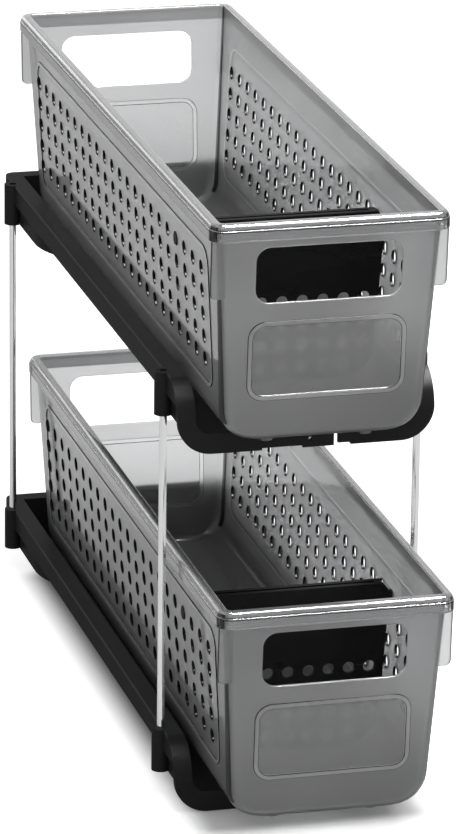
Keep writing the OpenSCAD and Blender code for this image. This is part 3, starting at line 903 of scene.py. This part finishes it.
def finish(name, colour, roughness, spread=0.06, mottle=0.06, cloud=30.0, grain=1500.0, bump=0.00003,
           marks=0.08, mark_colour=(0.4, 0.4, 0.4, 1), stretch=(60.0, 8.0, 60.0), metallic=0.0, ior=1.5,
           specular=0.5, clear=0.0, coat=0.0, polish=0.1):
    """One procedural material made of the shared groups and a Principled shader."""
    mat = bpy.data.materials.new(name)
    mat.use_nodes = True
    tree = mat.node_tree
    shader = tree.nodes["Principled BSDF"]
    place = object_place(tree)
    base = grouped(tree, "Moulded grain", {
        "Vector": place, "Color": (*colour, 1), "Mottle": mottle, "Roughness": roughness,
        "Gloss spread": spread, "Cloud scale": cloud, "Grain scale": grain})
    wear = grouped(tree, "Handling marks", {
        "Vector": place, "Color": base["Color"], "Roughness": base["Roughness"],
        "Mark color": mark_colour, "Amount": marks, "Stretch": stretch})
    relief = node(tree, "ShaderNodeBump", {"Strength": 1.0, "Distance": bump, "Height": base["Height"]})
    feed(tree, shader, {
        "Base Color": wear["Color"], "Roughness": wear["Roughness"], "Normal": relief.outputs["Normal"],
        "Metallic": metallic, "IOR": ior, "Specular IOR Level": specular, "Transmission Weight": clear,
        "Coat Weight": coat, "Coat Roughness": polish})
    return mat


def smoky_plastic(look):
    """Frosted see-through plastic of the baskets.

    It has painted shade towards a basket's floor and along its edges, painted highlights on its frames, and
    is clearer in label fields and rim.
    """
    mat = finish("smoky plastic", look.smoke, look.smoke_haze, spread=0.1, mottle=0.04, cloud=22.0,
                 grain=700.0, bump=0.000002, marks=0.05, mark_colour=(0.75, 0.75, 0.76, 1), ior=1.15,
                 clear=look.smoke_clear, coat=1.0, polish=look.smoke_gloss)
    tree = mat.node_tree
    shader = tree.nodes["Principled BSDF"]
    colour, gloss = (shader.inputs[key].links[0].from_socket for key in ("Base Color", "Roughness"))
    # The frame mark brings a painted highlight and the edge mark a painted shade
    field, pale, rim, edge, floor = (
        node(tree, "ShaderNodeAttribute", attribute_name=name).outputs["Fac"] for name in FACE_MARKS)
    lower, upper = (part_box(f"{tier}_basket")[0][2] for tier in TIERS)
    # Painted shade: the colour grows darker towards each basket's floor
    deep = grouped(tree, "Painted floor shade", {
        "Vector": object_place(tree), "Color": colour, "Foot": lower, "Tier": upper - lower,
        "Reach": look.floor_shade_reach, "Depth": look.deep})
    # Painted highlight: frame faces take the pale frame colour
    tint = mixed(tree, pale, deep["Color"], (*look.frame, 1))
    # Painted shade: the colour is darkened along the marked edges
    tint = toned(tree, tint, sums(tree, "MULTIPLY_ADD", edge, look.edge_painted_shade - 1, 1.0))
    for mark, share in ((field, FIELD_CLEARER), (rim, RIM_CLEARER)):
        gloss = sums(tree, "MULTIPLY_ADD", mark, -share * look.smoke_haze, gloss)
    coat = sums(tree, "MULTIPLY_ADD", sums(tree, "ADD", edge, floor), -POLISH_LOSS, 1.0)
    feed(tree, shader, {"Base Color": tint, "Roughness": gloss, "Coat Weight": coat})
    inside = node(tree, "ShaderNodeVolumeAbsorption", {"Color": (0, 0, 0, 1), "Density": look.smoke_depth})
    feed(tree, tree.nodes["Material Output"], {"Volume": inside.outputs[0]})


# ---------- Stage ----------

WHITE = (1, 1, 1, 1)
FLOOR_SIZE = 9
FLOOR_DROP = 0.0002  # how far the floor lies below the feet
SENSOR_HEIGHT = 36  # millimetres
VIEW_END = 20  # farthest distance that the camera shows

# Name, place, aim, width, depth, watts, and whether it shows in gloss alone
LAMPS = (
    ("top lamp", (0.35, -0.45, 2.2), (0, 0, 0.15), 1.6, 0.7, 30, False),
    ("front lamp", (-0.9, -3.2, 2.2), (0, 0, 0.15), 1.6, 1.2, 19, False),
    ("gleam lamp", (0.45, -0.3, 2.2), (0, -0.1, 0.2), 1.8, 1.5, 360, True),
    ("back lamp", (-0.9, 2.4, 0.75), (0, 0, 0.15), 1.2, 0.6, 4, True),
)


def lamp(name, place, aim, width, depth, power, gloss_only):
    """A soft rectangular lamp aimed at a point."""
    bpy.ops.object.light_add(type="AREA", location=place)
    obj = bpy.context.object
    obj.name = name
    obj.data.shape = "RECTANGLE"
    obj.data.size, obj.data.size_y, obj.data.energy = width, depth, power
    obj.rotation_euler = (Vector(aim) - Vector(place)).to_track_quat("-Z", "Y").to_euler()
    obj.visible_diffuse = obj.visible_transmission = not gloss_only


def seen_mask(tree, *rays):
    """1 for camera and transmission rays and for the other kinds of ray named, 0 for the rest."""
    path = tree.nodes.new("ShaderNodeLightPath").outputs
    mask = sums(tree, "MAXIMUM", path["Is Camera Ray"], path["Is Transmission Ray"])
    for ray in rays:
        mask = sums(tree, "MAXIMUM", mask, path[ray])
    return mask


def beside(tree, half_x, half_y):
    """How far a place on the floor lies outside a rectangle round the middle."""
    axes = node(tree, "ShaderNodeSeparateXYZ", {0: object_place(tree)}).outputs
    past = []
    for axis, half in (("X", half_x), ("Y", half_y)):
        out = sums(tree, "SUBTRACT", sums(tree, "ABSOLUTE", axes[axis]), half)
        past.append(sums(tree, "MAXIMUM", out, 0.0))
    flat = node(tree, "ShaderNodeCombineXYZ", {0: past[0], 1: past[1]})
    return node(tree, "ShaderNodeVectorMath", {0: flat.outputs[0]}, operation="LENGTH").outputs["Value"]


def pale_floor(stage):
    """Floor finish: lifted to white where it is seen directly, but left unlifted close round the object, a
    painted shadow over its real one, and lifted further where it is seen through plastic, a painted glow.
    """
    mat = bpy.data.materials.new("pale floor")
    mat.use_nodes = True
    tree = mat.node_tree
    # Painted shadow close round the object and painted glow where the floor is seen through plastic
    far = beside(tree, stage.painted_shadow_half_x, stage.painted_shadow_half_y)
    fade = ranged(tree, far, 0.0, stage.fade, style="SMOOTHSTEP")
    glow = ranged(tree, far, stage.glow_near, stage.glow_far, stage.glow, 0.0)
    through = tree.nodes.new("ShaderNodeLightPath").outputs["Is Transmission Ray"]
    glow = sums(tree, "MULTIPLY_ADD", glow, through, stage.lift)
    lift = sums(tree, "MULTIPLY", sums(tree, "MULTIPLY", seen_mask(tree), fade), glow)
    feed(tree, tree.nodes["Principled BSDF"], {
        "Base Color": (*stage.floor, 1), "Roughness": 0.9, "Specular IOR Level": 0.0,
        "Emission Color": WHITE, "Emission Strength": lift})
    return mat


def lay_floor(stage):
    """Wide plain floor just below the feet."""
    bpy.ops.object.select_all(action="DESELECT")
    bpy.ops.mesh.primitive_plane_add(size=1, location=(0, 0, -FLOOR_DROP))
    floor = bpy.context.object
    floor.name = "floor"
    floor.scale = (FLOOR_SIZE, FLOOR_SIZE, 1)
    settle(floor)
    floor.data.materials.append(pale_floor(stage))


def light_surround(stage):
    """Plain surround, white where it is seen and softer where it lights the object."""
    world = bpy.data.worlds.new("surround")
    bpy.context.scene.world = world
    world.use_nodes = True
    tree = world.node_tree
    strength = ranged(tree, seen_mask(tree, "Is Glossy Ray"), 0.0, 1.0, stage.sky, 1.0)
    feed(tree, tree.nodes["Background"], {"Color": WHITE, "Strength": strength})


def set_camera(stage):
    """Camera at its place, turned by its heading, tilt and roll."""
    bpy.ops.object.camera_add(location=stage.camera)
    camera = bpy.context.object
    a, e, roll = stage.heading, stage.tilt, stage.roll
    ahead = Vector((math.sin(a) * math.cos(e), math.cos(a) * math.cos(e), -math.sin(e)))
    level = Vector((math.cos(a), -math.sin(a), 0))
    rise = level.cross(ahead)
    right = level * math.cos(roll) + rise * math.sin(roll)
    up = rise * math.cos(roll) - level * math.sin(roll)
    camera.rotation_euler = Matrix((right, up, -ahead)).transposed().to_euler()
    camera.data.sensor_fit = "VERTICAL"
    camera.data.sensor_height = SENSOR_HEIGHT
    camera.data.lens = stage.lens
    camera.data.clip_end = VIEW_END
    bpy.context.scene.camera = camera


# ---------- Operators ----------

class ORGANISER_OT_finishes(bpy.types.Operator):
    """Make the finishes of baskets, trays, dividers and posts"""
    bl_idname = "organiser.finishes"
    bl_label = "Finishes"

    def execute(self, context):
        look = context.scene.organiser_finish
        moulded_grain()
        handling_marks()
        painted_floor_shade()
        smoky_plastic(look)
        # Painted shade for the hole walls and the frames' steps
        finish("hole wall", look.hole_painted_shade, 0.3, mottle=0.2, grain=900.0, bump=0.000002, marks=0.0,
               specular=0.0, coat=0.2)
        finish("tray plastic", look.tray, look.tray_gloss, spread=0.1, mottle=0.1, grain=2200.0,
               marks=0.04, mark_colour=(0.05, 0.05, 0.05, 1), specular=0.0, coat=0.16, polish=0.35)
        finish("divider plastic", look.divider, 0.34, spread=0.1, mottle=0.1, grain=2200.0, bump=0.00002,
               marks=0.04, mark_colour=(0.03, 0.03, 0.03, 1), stretch=(8.0, 60.0, 60.0), specular=0.0,
               coat=0.25, polish=0.25)
        finish("plated steel", look.steel, 0.07, spread=0.05, mottle=0.02, cloud=60.0, grain=500.0,
               bump=0.000004, marks=0.06, mark_colour=(0.6, 0.6, 0.6, 1), stretch=(900.0, 900.0, 12.0),
               metallic=1.0)
        return {"FINISHED"}


class ORGANISER_OT_baskets(bpy.types.Operator):
    """Model the perforated baskets"""
    bl_idname = "organiser.baskets"
    bl_label = "Baskets"

    def execute(self, context):
        size, trim = context.scene.organiser_basket, context.scene.organiser_openings
        first = model_basket(size, trim)
        for tier, obj in zip(TIERS, (first, copy_of(first, "copy"))):
            obj.name = obj.data.name = f"{tier}_smoky_basket"
            obj.location = place_of(size, tier)
            settle(obj)
            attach(obj, f"{tier}_basket")
            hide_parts(f"{tier}_basket")
        return {"FINISHED"}


class ORGANISER_OT_trays(bpy.types.Operator):
    """Soften and finish the trays"""
    bl_idname = "organiser.trays"
    bl_label = "Trays"

    def execute(self, context):
        width = context.scene.organiser_finish.soft_edge
        for name in TRAYS:
            obj = soften(name, name.replace("tray", "moulded_tray"), width, "tray plastic")
            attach(obj, "frame")
            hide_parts(name)
        return {"FINISHED"}


class ORGANISER_OT_dividers(bpy.types.Operator):
    """Soften and finish the swinging dividers"""
    bl_idname = "organiser.dividers"
    bl_label = "Dividers"

    def execute(self, context):
        width = context.scene.organiser_finish.soft_edge
        for name in DIVIDERS:
            obj = soften(name, name.replace("divider", "swinging_divider"), width, "divider plastic")
            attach(obj, name)
            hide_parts(name)
        return {"FINISHED"}


class ORGANISER_OT_posts(bpy.types.Operator):
    """Finish the steel posts"""
    bl_idname = "organiser.posts"
    bl_label = "Posts"

    def execute(self, context):
        for name in POSTS:
            bpy.data.objects[name].material_slots[0].material = bpy.data.materials["plated steel"]
        return {"FINISHED"}


class ORGANISER_OT_stage(bpy.types.Operator):
    """Set up the floor, surround, lamps and camera"""
    bl_idname = "organiser.stage"
    bl_label = "Stage"

    def execute(self, context):
        stage = context.scene.organiser_stage
        context.scene.view_settings.view_transform = "Standard"
        lay_floor(stage)
        light_surround(stage)
        for values in LAMPS:
            lamp(*values)
        set_camera(stage)
        return {"FINISHED"}


# ---------- Panel and registration ----------

class ORGANISER_PT_panel(bpy.types.Panel):
    """Pieces and stage of the organiser"""
    bl_label = "Organiser"
    bl_idname = "ORGANISER_PT_panel"
    bl_space_type = "VIEW_3D"
    bl_region_type = "UI"
    bl_category = "Organiser"

    def draw(self, context):
        layout = self.layout
        for operator in OPERATORS:
            layout.operator(operator.bl_idname)
        for store in STORES:
            box = layout.box()
            box.label(text=store.__doc__)
            values = getattr(context.scene, STORES[store])
            for key in store.__annotations__:
                box.prop(values, key)


STORES = {
    BasketSizes: "organiser_basket",
    OpeningSizes: "organiser_openings",
    FinishSettings: "organiser_finish",
    StageSettings: "organiser_stage",
}
OPERATORS = (ORGANISER_OT_finishes, ORGANISER_OT_baskets, ORGANISER_OT_trays, ORGANISER_OT_dividers,
             ORGANISER_OT_posts, ORGANISER_OT_stage)


def register():
    """Registers the settings, operators and panel, and keeps the settings in the scene."""
    for cls in (*STORES, *OPERATORS, ORGANISER_PT_panel):
        bpy.utils.register_class(cls)
    for store, key in STORES.items():
        setattr(bpy.types.Scene, key, bpy.props.PointerProperty(type=store))


def unregister():
    """Takes back what register() did."""
    for key in STORES.values():
        delattr(bpy.types.Scene, key)
    for cls in reversed((*STORES, *OPERATORS, ORGANISER_PT_panel)):
        bpy.utils.unregister_class(cls)


def main():
    """Builds the whole scene with the operators."""
    register()
    bpy.ops.organiser.finishes()
    bpy.ops.organiser.baskets()
    bpy.ops.organiser.trays()
    bpy.ops.organiser.dividers()
    bpy.ops.organiser.posts()
    bpy.ops.organiser.stage()


if __name__ == "__main__":
    main()
